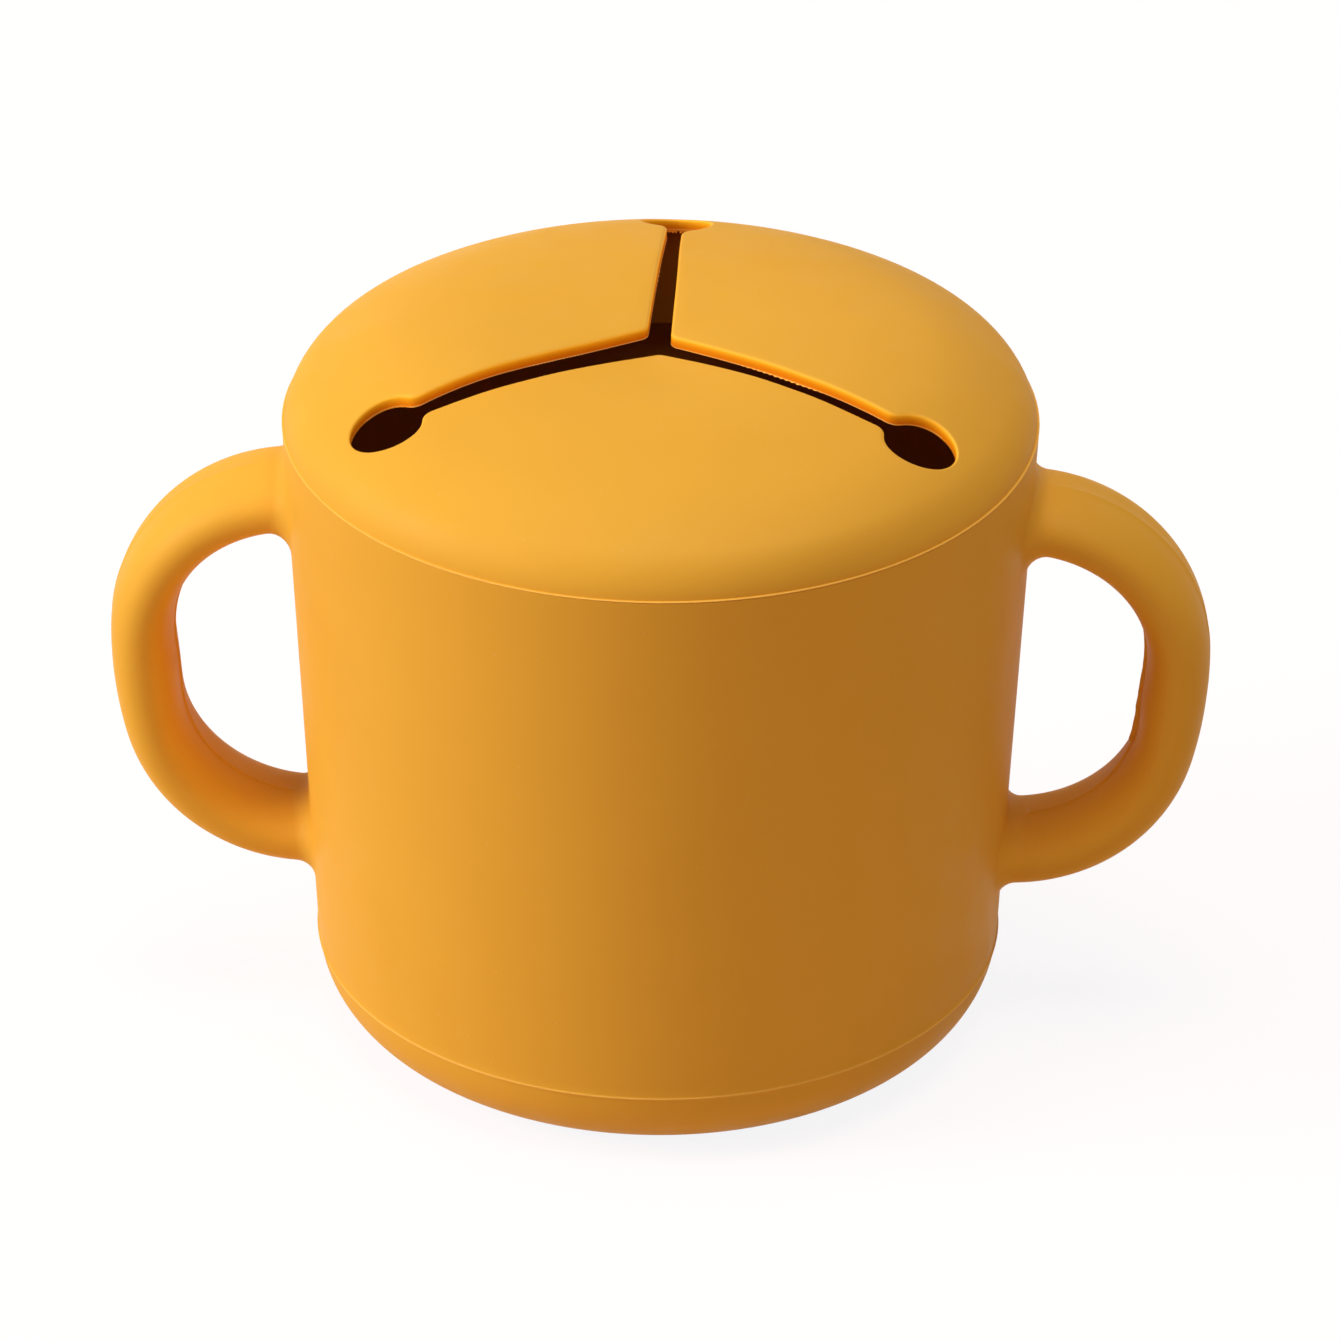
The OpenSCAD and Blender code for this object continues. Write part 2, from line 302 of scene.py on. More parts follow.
def oval(step, rise, thinner=0.0, ridge=0.0):
    """The point of the section that faces a point of the rectangle, with its
    outward direction; both as (away from the bend, along the cup's round).
    The side towards the cup may be `thinner`, and the middle of both faces may
    carry a ridge."""
    turn = math.atan2(rise / ROOT_HALF, step / HALF_STEPS)
    c, s = math.cos(turn), math.sin(turn)
    power = 2 / SQUARENESS
    half = GRIP_T / 2 - (thinner if s < 0 else 0)
    out = half * math.copysign(abs(s) ** power, s)
    side = GRIP_W / 2 * math.copysign(abs(c) ** power, c)
    if abs(rise) == ROOT_HALF and abs(step) == 1:      # the foot of the ridge
        side = math.copysign(RIDGE, side)
        out = math.copysign(half, s)
    if abs(rise) == ROOT_HALF and step == 0:
        out = math.copysign(half + ridge * (RIDGE_OUT if s > 0 else RIDGE_IN), s)
    normal = Vector((math.copysign(abs(s) ** (2 - power), s) / (GRIP_T / 2),
                     math.copysign(abs(c) ** (2 - power), c) / (GRIP_W / 2))).normalized()
    return Vector((out, side)), normal


around = rectangle(0)
print(f"a section has {len(around)} points")

# %% [markdown]
# A fillet is the path of a ball that rolls along the corner between wall and
# handle. For each point of the section, the place on the bend is sought where
# the ball just touches the wall, by halving a range of turns. The lower bend is
# the upper one's mirror image, so its turns are negative.

# %% A root's fillet
THINNER = {True: 0.44, False: 0.62}   # off the inner face, in the upper and the lower bend
TURN_RANGE = (50.0, 110.0)   # every root lies between these turns on its bend
HALVINGS = 40


def on_wall(side, z):
    """The point of the wall at that distance along Y and that height."""
    return Vector((math.sqrt(wall_radius(z) ** 2 - side ** 2), side, z))


def bend_point(centre, radius, turn, out, side):
    """A point of the section on a bend; turn in degrees from +X."""
    t = math.radians(turn)
    return Vector((centre[0] + (radius + out) * math.cos(t), side,
                   centre[1] + (radius + out) * math.sin(t)))


def root_fillet(out, upper):
    """The fillet's radius: largest under the top of the handle."""
    outer, inner = max(out, 0) / (GRIP_T / 2), max(-out, 0) / (GRIP_T / 2)
    return 2.4 - 0.6 * outer + 0.7 * inner if upper else 2.3 - 0.3 * outer


def root_places(loop, upper, phase):
    """Where a ring on the fillet lies, as a turn on the bend and a point of the
    section. Phase 0 is on the wall, 90 degrees on the handle."""
    centre, radius = (UPPER, UPPER_R) if upper else (LOWER, LOWER_R)
    places = []
    for step, rise in loop:
        point, normal = oval(step, rise, THINNER[upper])
        fillet = root_fillet(point[0], upper)
        gap = fillet * (1 - math.cos(math.radians(phase)))
        point = point + normal * fillet * (1 - math.sin(math.radians(phase)))
        low, high = TURN_RANGE
        for _ in range(HALVINGS):
            mid = (low + high) / 2
            place = bend_point(centre, radius, mid if upper else -mid, *point)
            away = place.x - on_wall(place.y, place.z).x
            low, high = (mid, high) if away > gap else (low, mid)
        places.append((mid, point))
    return places


def bend_ring(places, upper):
    """The ring whose points lie at these turns and points of the section."""
    centre, radius = (UPPER, UPPER_R) if upper else (LOWER, LOWER_R)
    return [bend_point(centre, radius, turn if upper else -turn, *point)
            for turn, point in places]


upper_foot = bend_ring(root_places(around, True, 0), True)
print(f"the upper root's foot is {2 * max(p.y for p in upper_foot):.1f} mm wide")

# %% [markdown]
# The rings are listed first and extruded afterwards. They start on the wall
# round the upper rectangle, climb the fillet and follow the bend to the grip.
# The lower bend is made in the same way, from its root to the grip, and its
# rings are then taken in the opposite order.

# %% Rings on the wall, on a bend and along the grip
PHASES = (0, 12, 26, 40, 54, 68, 80, 90)   # round the fillet, from wall to handle
STRAIGHTENING = (0.3, 0.62, 1)   # shares of the way from a root's last ring to a flat one
CLEAR = 3                # the flat one is this many degrees past the root
BEND_STEP = 2.2          # degrees from ring to ring
GRIP_RINGS = 18
WAIST = 0.28             # how much thicker the inner face is in the middle of the grip


def wall_ring(loop, foot, centre_z, share):
    """A ring on the wall between the rectangle (share 0) and the fillet's foot."""
    ring = []
    for (step, rise), end in zip(loop, foot):
        z0 = centre_z + rise
        y0 = wall_radius(z0) * math.sin(step * STEP)
        ring.append(on_wall(y0 + (end.y - y0) * share, z0 + (end.z - z0) * share))
    return ring


def sweep_ring(centre, radius, turn, thinner):
    """A whole section at one turn of a bend."""
    return [bend_point(centre, radius, turn, *oval(step, rise, thinner, RIDGE)[0])
            for step, rise in around]


def bend_rings(upper, grip_turn):
    """The rings from a root to the grip."""
    rings = [bend_ring(root_places(around, upper, phase), upper) for phase in PHASES]
    # The last of these follows the round wall, so a few rings straighten it.
    last = root_places(around, upper, PHASES[-1])
    even = min(turn for turn, _ in last) - CLEAR
    for share in STRAIGHTENING:
        rings.append(bend_ring([(turn + (even - turn) * share,
                                 oval(*at, THINNER[upper], RIDGE * share)[0])
                                for (turn, _), at in zip(last, around)], upper))
    centre, radius = (UPPER, UPPER_R) if upper else (LOWER, LOWER_R)
    steps = round((even - abs(grip_turn)) / BEND_STEP)
    for i in range(1, steps):
        turn = even + (abs(grip_turn) - even) * i / steps
        rings.append(sweep_ring(centre, radius, turn if upper else -turn, THINNER[upper]))
    return rings


# %% All rings of a handle, from the upper rectangle to the lower
rings = [wall_ring(around, upper_foot, TOP_ROOT_Z, s) for s in (0.45, 0.8)]
rings += bend_rings(True, UPPER_TURN)
for i in range(GRIP_RINGS + 1):
    share = i / GRIP_RINGS
    thinner = THINNER[True] * (1 - share) + THINNER[False] * share
    thinner -= WAIST * math.sin(math.pi * share) ** 2
    turn = UPPER_TURN + (LOWER_TURN - UPPER_TURN) * share
    rings.append(sweep_ring(BOW, BOW_R, turn, thinner))
rings += reversed(bend_rings(False, LOWER_TURN))
lower_foot = rings[-1]
# Below, the handle's outer side faces down, so the loop is read upside down.
flipped = [(step, -rise) for step, rise in around]
rings += [wall_ring(flipped, lower_foot, LOW_ROOT_Z, s) for s in (0.8, 0.45, 0)]
first_ring = [on_wall(wall_radius(TOP_ROOT_Z + rise) * math.sin(step * STEP), TOP_ROOT_Z + rise)
              for step, rise in around]
print(f"{len(rings)} rings of {len(around)} points to a handle")

# %% [markdown]
# An extruded loop of edges keeps its order, but Blender gives its new vertices
# no fixed numbers. So each new vertex, which starts on the old ring, looks up
# the nearest point there and moves to the partner of that point on the next.

# %% Selecting and extruding a ring


def in_root(centre):
    """True for a face of the outer wall that lies in one of the rectangles."""
    if math.hypot(centre.x, centre.y) < wall_radius(centre.z) - WALL / 2:
        return False
    side = abs(math.atan2(centre.y, abs(centre.x)))
    near = min(abs(centre.z - TOP_ROOT_Z), abs(centre.z - LOW_ROOT_Z))
    return side < HALF_STEPS * STEP and near < ROOT_HALF


def placed(point, sign):
    """A point of the right handle in metres, or its mirror image on the left."""
    return Vector((sign * point.x, point.y, point.z)) * MM


def select_loop(mesh, places):
    """Selects the open edges whose two ends are at the places given."""
    bpy.ops.mesh.select_all(action="DESELECT")
    bpy.ops.mesh.select_mode(type="EDGE")
    ends = [v for v in mesh.verts if any((v.co - p).length < SAME_PLACE * MM for p in places)]
    for edge in {e for v in ends for e in v.link_edges}:
        if len(edge.link_faces) == 1 and edge.verts[0] in ends and edge.verts[1] in ends:
            edge.select_set(True)


def grow_ring(mesh, places, next_places):
    """Extrudes the selected loop of edges and moves each new vertex on."""
    bpy.ops.mesh.extrude_edges_move()
    for vertex in (v for v in mesh.verts if v.select):
        nearest = min(range(len(places)), key=lambda i: (places[i] - vertex.co).length)
        vertex.co = next_places[nearest]
    bmesh.update_edit_mesh(bpy.context.object.data)
    return bmesh.from_edit_mesh(bpy.context.object.data)


print(f"a rectangle takes up {2 * HALF_STEPS} x {ROOT_ROWS} faces")

# %% [markdown]
# Where the two halves of a mould meet, a little silicone creeps between them.
# It is pulled off by hand, and a scrap stays behind. Here that is on the inner
# face of the right handle's grip. The ridge there is drawn out, most at its
# lower end, where it breaks off. The same point of every ring carries it, so
# nothing has to be added to the mesh.

# %% The torn parting line
TORN_Z, TORN_TO_Z = 37.0, 53.0   # its lower and its upper end
TORN_REACH = 0.42        # how far it stands out at the lower end
TORN_FADE, TORN_ROUGH, TORN_PITCH = 0.7, 0.35, 0.8
inner_line = around.index((0, -ROOT_HALF))


def torn_flash(z):
    """How far the right handle's parting line is drawn out towards the cup."""
    share = (z - TORN_Z) / (TORN_TO_Z - TORN_Z)
    if not 0 < share < 1:
        return 0.0
    rough = 1 + TORN_ROUGH * noise.noise(Vector((0, 0, TORN_PITCH * z)))
    return TORN_REACH * (1 - share) ** TORN_FADE * rough


print(f"it stands out by up to {max(torn_flash(z / 10) for z in range(800)):.2f} mm")

# %% Cut the rectangles out and grow the handles
print(select_faces(in_root), "faces make way for the roots")
bpy.ops.mesh.delete(type="FACE")
for sign in (1, -1):
    loop = [placed(p, sign) for p in first_ring]
    mesh = bmesh.from_edit_mesh(cup.data)
    select_loop(mesh, loop)
    for ring in rings:
        next_loop = [placed(p, sign) for p in ring]
        if sign > 0:
            next_loop[inner_line].x -= torn_flash(ring[inner_line].z) * MM
        mesh = grow_ring(mesh, loop, next_loop)
        loop = next_loop
finish_shading(cup, 35)
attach(cup, "cup")
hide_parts("cup_body", "handle_left", "handle_right")

# %% [markdown]
# ## The lid
#
# The lid is a thin dome whose outside is four arcs, from an almost flat crown
# to a tight shoulder. The slit cuts it into three flaps that stay joined to the
# rim, so each flap bends and yet is one skin with the shoulder. Three pieces
# are made, one for each flap, each a third of the lid. Each has its own sag,
# because soft silicone never comes out of the mould quite flush.
#
# A Boolean cut would leave ragged faces along the slit, where the real edge is
# softly rounded. So the plan of a third is laid out as a grid whose inner edge
# follows the slit and whose outer edge follows the shoulder, and the rounding,
# the cut wall and the underside are extruded from the edge of that grid.

# %% The profile of the dome
DOME_H = 10.3            # from the seam to the crown
PLATE = 1.5              # thickness of the lid
LID_RADII = (560.0, 76.0, 29.0, 6.9)   # the four arcs, from the crown outwards
LID_SLOPES = (0.0, 2.1, 10.8, 31.0)    # the slope at which each arc begins, in degrees
lid_centres = [(0.0, SEAM_Z + DOME_H - LID_RADII[0])]
for i in (1, 2, 3):
    change, slope = LID_RADII[i - 1] - LID_RADII[i], math.radians(LID_SLOPES[i])
    lid_centres.append((lid_centres[-1][0] + change * math.sin(slope),
                        lid_centres[-1][1] + change * math.cos(slope)))


def dome(r, inset=0.0):
    """Height of the dome at radius r; `inset` gives a skin further in."""
    for i in (3, 2, 1, 0):
        (cx, cz), radius = lid_centres[i], LID_RADII[i] - inset
        if r >= cx + radius * math.sin(math.radians(LID_SLOPES[i])) or i == 0:
            return cz + math.sqrt(max(radius ** 2 - (r - cx) ** 2, 0))


SHOULDER_R = lid_centres[3][0] + LID_RADII[3] * math.sin(math.radians(LID_SLOPES[3]))
print(f"the shoulder's arc starts at r {SHOULDER_R:.2f}, z {dome(SHOULDER_R):.2f}")

# %% [markdown]
# A slit that simply ended would tear on, so each arm runs into a round hole,
# with a small curve on either side of the mouth. In plan, a flap's edge goes
# round its tip, straight along the arm, round the mouth and half round the
# hole. It is worked out for a flap that points along +X, and once only: the
# same function, moved further into the silicone, gives every ring of the cut.

# %% The edge of a flap
HALF_FLAP = math.radians(60)   # a flap reaches this far to each side
HOLE_R, HOLE_AT = 4.25, 36.0   # the relief hole, and how far out it is
SLIT_HALF = 0.93         # half width of the slit where it meets the hole
WIDER = 0.5              # how much further the flap's tip stands back
MOUTH_R, TIP_R = 1.8, 1.5   # the curves at the hole's mouth and at the tip
EDGE_R = 0.38            # rounding of the upper edge
EDGE_ROWS, WALL_COLUMNS, TIP_COLUMNS = 26, 30, 8   # steps along each stretch
MOUTH_STEPS = 6          # how many of the edge's rows go round the mouth
# Along the arm's own direction, the mouth's curve starts here.
mouth_along = HOLE_AT - math.sqrt((HOLE_R + MOUTH_R) ** 2 - (SLIT_HALF + MOUTH_R) ** 2)
tip_at = (SLIT_HALF + TIP_R) / math.sin(HALF_FLAP)


def turned(along, across):
    """A point beside an arm, from the arm's own axes to the flap's, in plan."""
    return Vector((along * math.cos(HALF_FLAP) + across * math.sin(HALF_FLAP),
                   along * math.sin(HALF_FLAP) - across * math.cos(HALF_FLAP)))


def slit_side(inset):
    """Half of the flap's edge, from the middle of the tip to the hole's far side.
    The edge is moved into the silicone by `inset`."""
    points = []
    for i in range(TIP_COLUMNS + 1):                       # round the tip
        t = math.radians(180 - 30 * i / TIP_COLUMNS)
        points.append(Vector((tip_at + (TIP_R - inset) * math.cos(t),
                              (TIP_R - inset) * math.sin(t))))
    start = points[-1]
    end = turned(mouth_along, SLIT_HALF + inset)
    points += [start.lerp(end, i / WALL_COLUMNS) for i in range(1, WALL_COLUMNS + 1)]
    # Round the mouth, then round the hole to its far side.
    mouth = (mouth_along, SLIT_HALF + MOUTH_R)
    meet = math.atan2(mouth[1], HOLE_AT - mouth_along)
    for i in range(1, MOUTH_STEPS + 1):
        t = -math.pi / 2 + (math.pi / 2 - meet) * i / MOUTH_STEPS
        points.append(turned(mouth[0] + (MOUTH_R - inset) * math.cos(t),
                             mouth[1] + (MOUTH_R - inset) * math.sin(t)))
    for i in range(1, EDGE_ROWS - MOUTH_STEPS + 1):
        t = math.pi - meet - (math.pi - meet) * i / (EDGE_ROWS - MOUTH_STEPS)
        points.append(turned(HOLE_AT + (HOLE_R + inset) * math.cos(t),
                             (HOLE_R + inset) * math.sin(t)))
    back = [max(0.0, 1 - p.x / (HOLE_AT / 2)) * WIDER for p in points]
    return [Vector((p.x + b, p.y)) for p, b in zip(points, back)]


def slit_edge(inset):
    """The whole edge, from one hole's far side round the tip to the other's."""
    half = slit_side(inset)
    return [Vector((p.x, -p.y)) for p in reversed(half)] + half[1:]


print(f"a flap's edge has {len(slit_edge(0))} points")

# %% [markdown]
# A soft skin shows every dent in its mesh, so the faces between the edge and
# the shoulder should be even and almost square. A grid is first spread between
# its four sides, and then each point moves, again and again, to where its
# neighbours want it, as in a stretched net. The last rows run along the seam
# where two thirds meet, from the hole to the shoulder.

# %% The plan of a third of the lid
COLUMNS = 2 * (TIP_COLUMNS + WALL_COLUMNS)
SEAM_ROWS = 2            # from the hole to the shoulder
ROWS = EDGE_ROWS + SEAM_ROWS
CROWDING = 0.8           # how much closer the columns stand at the ends of a third
RELAX_PASSES = 200


def column_turn(column):
    """Azimuth of a column on the outer arc. The columns stand closer at the ends,
    so that the shading runs on smoothly from one third to the next."""
    u = column / COLUMNS
    return HALF_FLAP * (2 * (u - CROWDING * math.sin(math.tau * u) / math.tau) - 1)


def relax(grid):
    """Evens a grid out inside its four fixed edges, with Winslow's equations."""
    for _ in range(RELAX_PASSES):
        along = (grid[1:-1, 2:] - grid[1:-1, :-2]) / 2
        across = (grid[2:, 1:-1] - grid[:-2, 1:-1]) / 2
        a = (across ** 2).sum(-1)[..., None]
        b = (along * across).sum(-1)[..., None]
        c = (along ** 2).sum(-1)[..., None]
        twist = (grid[2:, 2:] - grid[2:, :-2] - grid[:-2, 2:] + grid[:-2, :-2]) / 4
        grid[1:-1, 1:-1] = (a * (grid[1:-1, 2:] + grid[1:-1, :-2])
                            + c * (grid[2:, 1:-1] + grid[:-2, 1:-1])
                            - 2 * b * twist) / (2 * (a + c))
    return grid


def plan_grid(inset, outer):
    """Points of the plan. Row 0 is the slit, the last row is the outer arc."""
    edge = np.array(slit_edge(inset))
    far = outer * np.array([(math.cos(column_turn(i)), math.sin(column_turn(i)))
                            for i in range(COLUMNS + 1)])
    near = edge[EDGE_ROWS:EDGE_ROWS + COLUMNS + 1]
    seam = [edge[-1] + (far[-1] - edge[-1]) * i / SEAM_ROWS for i in range(1, SEAM_ROWS + 1)]
    left = np.vstack([edge[EDGE_ROWS + COLUMNS:], seam])[:, None]
    right = left * (1, -1)
    u = np.linspace(0, 1, COLUMNS + 1)[None, :, None]
    v = np.linspace(0, 1, ROWS + 1)[:, None, None]
    grid = ((1 - v) * near + v * far + (1 - u) * right + u * left
            - (1 - u) * ((1 - v) * near[0] + v * far[0])
            - u * ((1 - v) * near[-1] + v * far[-1]))
    return relax(grid)


PLUG_R = 40.55           # inside of the plug under the dome
FOOT_INSET = 0.15        # small rounding of the lower edge of a cut
top_plan = plan_grid(EDGE_R, SHOULDER_R)
under_plan = plan_grid(FOOT_INSET, PLUG_R)
sides = top_plan[1:, :-1] - top_plan[:-1, :-1], top_plan[:-1, 1:] - top_plan[:-1, :-1]
cells = sides[1][..., 0] * sides[0][..., 1] - sides[1][..., 1] * sides[0][..., 0]
smallest, largest = abs(cells).min(), abs(cells).max()
print(f"plan of {ROWS} x {COLUMNS} cells, from {smallest:.3f} to {largest:.2f} mm2")

# %% [markdown]
# Under the shoulder the lid has a small ledge that sits on the rim of the cup,
# and a plug that goes down inside it. Two soft ribs round the plug press
# against the wall, and hold the lid on. All of this is one profile, extruded
# round the outer edge of the grid.

# %% The profile outside the shoulder
SHOULDER_END = 11.5      # the shoulder's arc stops at this turn, and the ledge begins
RIB_R, RIB_DROPS = 0.5, (2.6, 6.0)   # the ribs' rounding, and how far down they are
RIB_TURN = 62            # a rib is this much of an arc, up and down from its middle
PLUG_GAP = 0.45          # between the plug and the wall of the cup
RIB_STAND = 0.3          # how far a rib stands out of the plug
PLUG_H = 9.0             # how far the plug goes down
FOOT_LEAD = 0.5          # the slope at its foot, which leads it into the cup


def bore(z):
    """Inside radius of the cup at height z."""
    return wall_radius(z) - WALL


def lid_profile():
    """From the shoulder down to the seam, round the plug and up to the dome's
    underside, as (r, z)."""
    (cx, cz), radius = lid_centres[3], LID_RADII[3]
    points = arc((cx, cz), radius, 90 - LID_SLOPES[3], SHOULDER_END, 14)
    # A small ledge runs round the foot of the shoulder.
    points += [(CUP_R - 0.29, SEAM_Z + 0.27), (CUP_R - 0.26, SEAM_Z + 0.15),
               (CUP_R - 0.18, SEAM_Z + 0.12), (CUP_R - 0.02, SEAM_Z + 0.11),
               (CUP_R + 0.02, SEAM_Z + 0.07), (CUP_R + 0.02, SEAM_Z + 0.03),
               (CUP_R - 0.02, SEAM_Z)]
    points += straight(points[-1], (bore(SEAM_Z) - PLUG_GAP, SEAM_Z), 3)
    for drop in RIB_DROPS:
        z = SEAM_Z - drop
        centre = (bore(z) - PLUG_GAP + RIB_STAND - RIB_R, z)
        points += arc(centre, RIB_R, RIB_TURN, -RIB_TURN, 6)
    foot = SEAM_Z - PLUG_H
    plug = bore(foot) - PLUG_GAP
    points += [(plug, foot + FOOT_LEAD), (plug - 0.14, foot + 0.14), (plug - FOOT_LEAD, foot),
               (PLUG_R + 0.15, foot), (PLUG_R, foot + 0.15)]
    points += straight(points[-1], (PLUG_R, dome(PLUG_R, PLATE)), 5)
    return points


profile = lid_profile()
print(f"profile of {len(profile)} points, seam at r {max(r for r, z in profile):.2f}")

# %% [markdown]
# Soft flaps never lie quite flush. Here the front one hangs down at its tip,
# and the other two stand proud, so each arm of the slit shows one cut wall, lit
# or dark. Sculpting would give that too, but a few heights along the two sides
# of a flap, with a smooth curve through them, can be read and corrected.
#
# For each flap the table gives the direction it points to, in degrees; how far
# its tip is drawn back along that; how far its clockwise and its anticlockwise
# side lean into the slit; and how high its skin stands above the plain dome, at
# six places on the way from the rim to the axis, along those two sides. The
# lengths are in mm.

# %% How each flap lies
RAISE_AT = np.array((0, 0.28, 0.5, 0.65, 0.8, 1))   # the six places, as shares of the way
FLAPS = {"front": (-90, 0, (0, 0),
                   (0, -0.24, -0.13, -0.18, -0.53, -1.2), (0, -0.36, -0.05, 0.0, -0.36, -1.2)),
         "rear_left": (150, 0.4, (0.1, 0),
                       (0, 0.6, 1.0, 1.1, 1.05, 1.0), (0, 1.2, 1.52, 1.37, 1.1, 1.0)),
         "rear_right": (30, -0.28, (0, 0.17),
                        (0, 0.6, 0.8, 0.85, 0.6, 0.12), (0, -0.2, 0.1, 0.3, 0.3, 0.12))}
LEAN_TO = 0.68           # the share of the way in over which a side leans
LEAN_NEAR = 6            # the higher, the closer to the side only
DRAWN_NEAR = 1.2         # and the closer to the tip only
HELD_R, HELD_FURTHER = 41.0, 2.5   # where the skin is held, at the holes and between them


def along_side(heights, share):
    """A smooth curve through the heights, which starts level at the rim."""
    slopes = np.gradient(heights, RAISE_AT)
    slopes[0] = 0
    i = min(int(np.searchsorted(RAISE_AT, share, side="right")) - 1, len(heights) - 2)
    span = RAISE_AT[i + 1] - RAISE_AT[i]
    t = (share - RAISE_AT[i]) / span
    ease = t * t * (3 - 2 * t)
    return float((1 - ease) * heights[i] + ease * heights[i + 1]
                 + span * t * (1 - t) * ((1 - t) * slopes[i] - t * slopes[i + 1]))


def which_side(x, y):
    """From -1 at a flap's clockwise side to 1 at the other."""
    return max(-1.0, min(1.0, math.atan2(y, x) / HALF_FLAP))


def raised(x, y, flap):
    """How far the skin stands above the dome."""
    side = which_side(x, y)
    held = HELD_R + HELD_FURTHER * (1 - side ** 2) ** 2
    share = max(0.0, 1 - math.hypot(x, y) / held)
    weight = (1 + side) / 2
    return ((1 - weight) * along_side(FLAPS[flap][3], share)
            + weight * along_side(FLAPS[flap][4], share))


def leaning(x, y, flap):
    """How far a point moves into the slit beside it, as a step in plan."""
    side = which_side(x, y)
    share = max(0.0, 1 - math.hypot(x, y) / HELD_R)
    lean = FLAPS[flap][2][1 if side > 0 else 0] * side ** LEAN_NEAR
    lean *= math.sin(math.pi * min(1.0, share / LEAN_TO)) ** 2
    return -lean * math.sin(HALF_FLAP), math.copysign(lean * math.cos(HALF_FLAP), side)


def turn_plan(x, y, degrees):
    """A point of the plan, turned about the cup's axis."""
    t = math.radians(degrees)
    return x * math.cos(t) - y * math.sin(t), x * math.sin(t) + y * math.cos(t)


def lid_place(x, y, z, flap):
    """A point of the third whose flap points along +X, placed for that flap."""
    z += raised(x, y, flap)
    turn, drawn_back = FLAPS[flap][:2]
    share = max(0.0, 1 - x / (HOLE_AT / 2))
    step_x, step_y = leaning(x, y, flap)
    x += drawn_back * share ** DRAWN_NEAR + step_x
    return Vector((*turn_plan(x, y + step_y, turn), z)) * MM


for flap in FLAPS:
    print(f"{flap}: the tip stands {raised(0, 0, flap):+.2f} mm off the dome")

# %% [markdown]
# The rings of the cut go over the rounded upper edge, down the wall and into a
# small lip at its foot. Those outside follow the profile. Every ring has a point
# for each column or step of the grid's edge, so the extruded faces fit.

# %% The rings of a third
CUT_ROUND_STEPS = 5


def cut_rings():
    """The rings down the cut: how far each is inside the cut's wall, its share of
    the way through the plate, and its height above that."""
    rings = []
    for i in range(1, CUT_ROUND_STEPS + 1):
        t = math.radians(90 * i / CUT_ROUND_STEPS)
        rings.append((EDGE_R * (1 - math.sin(t)), 0, -EDGE_R * (1 - math.cos(t))))
    rings += [(0, 0.5, 0), (0, 1, 0.3), (-0.02, 1, 0.15), (-0.05, 1, 0.06), (0, 1, 0.01),
              (FOOT_INSET, 1, 0)]
    return rings


def cut_ring(flap, inset, share, rise):
    """One ring of the cut, as cut_rings() describes it."""
    ring = []
    for p in slit_edge(inset):
        z = (1 - share) * dome(p.length) + share * dome(p.length, PLATE) + rise
        ring.append(lid_place(p.x, p.y, z, flap))
    return ring


def round_ring(flap, r, z):
    """One ring of the profile, on this third's share of the round."""
    return [lid_place(r * math.cos(column_turn(i)), r * math.sin(column_turn(i)), z, flap)
            for i in range(COLUMNS + 1)]


print(f"{1 + len(cut_rings())} rings down the cut, {len(profile)} round the outside")

# %% [markdown]
# A third is assembled from two grids, for the skin and the underside. The cut
# and the profile are extruded from the edges of the upper one, until they meet
# the lower one. What stays open are the two flat ends where the thirds touch,
# and each of those is filled with one face.

# %% Sheets, rings and ends


def add_sheet(plan, inset, flap):
    """Adds a grid in edit mode and lays it on the dome."""
    bpy.ops.mesh.select_all(action="DESELECT")
    bpy.ops.mesh.primitive_grid_add(x_subdivisions=COLUMNS, y_subdivisions=ROWS, size=1)
    mesh = bmesh.from_edit_mesh(bpy.context.object.data)
    for vertex in (v for v in mesh.verts if v.select):
        column = round((vertex.co.x + 0.5) * COLUMNS)
        row = round((vertex.co.y + 0.5) * ROWS)
        x, y = plan[row][column]
        vertex.co = lid_place(x, y, dome(math.hypot(x, y), inset), flap)
    bmesh.update_edit_mesh(bpy.context.object.data)


def grow_rings(first, rings):
    """Extrudes the open edge that lies at `first` through all the rings."""
    mesh = bmesh.from_edit_mesh(bpy.context.object.data)
    select_loop(mesh, first)
    for ring in rings:
        mesh = grow_ring(mesh, first, ring)
        first = ring


def close_ends():
    """Fills the two flat ends of a third."""
    merge_doubles()
    for _ in range(2):
        bpy.ops.mesh.select_mode(type="EDGE")
        bpy.ops.mesh.select_all(action="DESELECT")
        mesh = bmesh.from_edit_mesh(bpy.context.object.data)
        edge = next(e for e in mesh.edges if len(e.link_faces) == 1)
        chain = [edge]
        for e in chain:
            e.select_set(True)
            chain += [n for v in e.verts for n in v.link_edges
                      if len(n.link_faces) == 1 and n not in chain]
        bmesh.update_edit_mesh(bpy.context.object.data)
        bpy.ops.mesh.edge_face_add()


# %% [markdown]
# ## The torn edge of the slit
#
# A blade cuts the slit, and along the lower edge of such a cut a thin ragged
# skin of silicone stays behind. It is a fin a few hundredths of a millimetre
# thick, longest behind the rear relief hole. A bump could not break the edge's
# outline, so the fin is a grid rolled into a three-sided tube, whose points are
# laid along the edge. The reach of each point comes from a noise, which is the
# same each time because it depends only on the place.

# %% Torn flash along the lower edge of the cut
FIN_STEP = 0.1           # spacing of the fin's points
FIN_ROOT, FIN_T = 0.1, 0.07   # how deep it is rooted, and how thick it is there
FIN_RISE = 0.04          # how far above the lower edge it grows
TORN_SPOTS = 0.11        # size of the stretches that tore, in stretches to the mm
TORN_FROM = 0.12         # the noise above which an edge is torn
TEETH, SLANT = 0.52, 0.37   # from tooth to tooth, and how they run across the lid
WORST_Y = 40.2           # behind the rear hole the edge is torn most
WORST_REACH = (2.6, 1.5)   # along X and Y


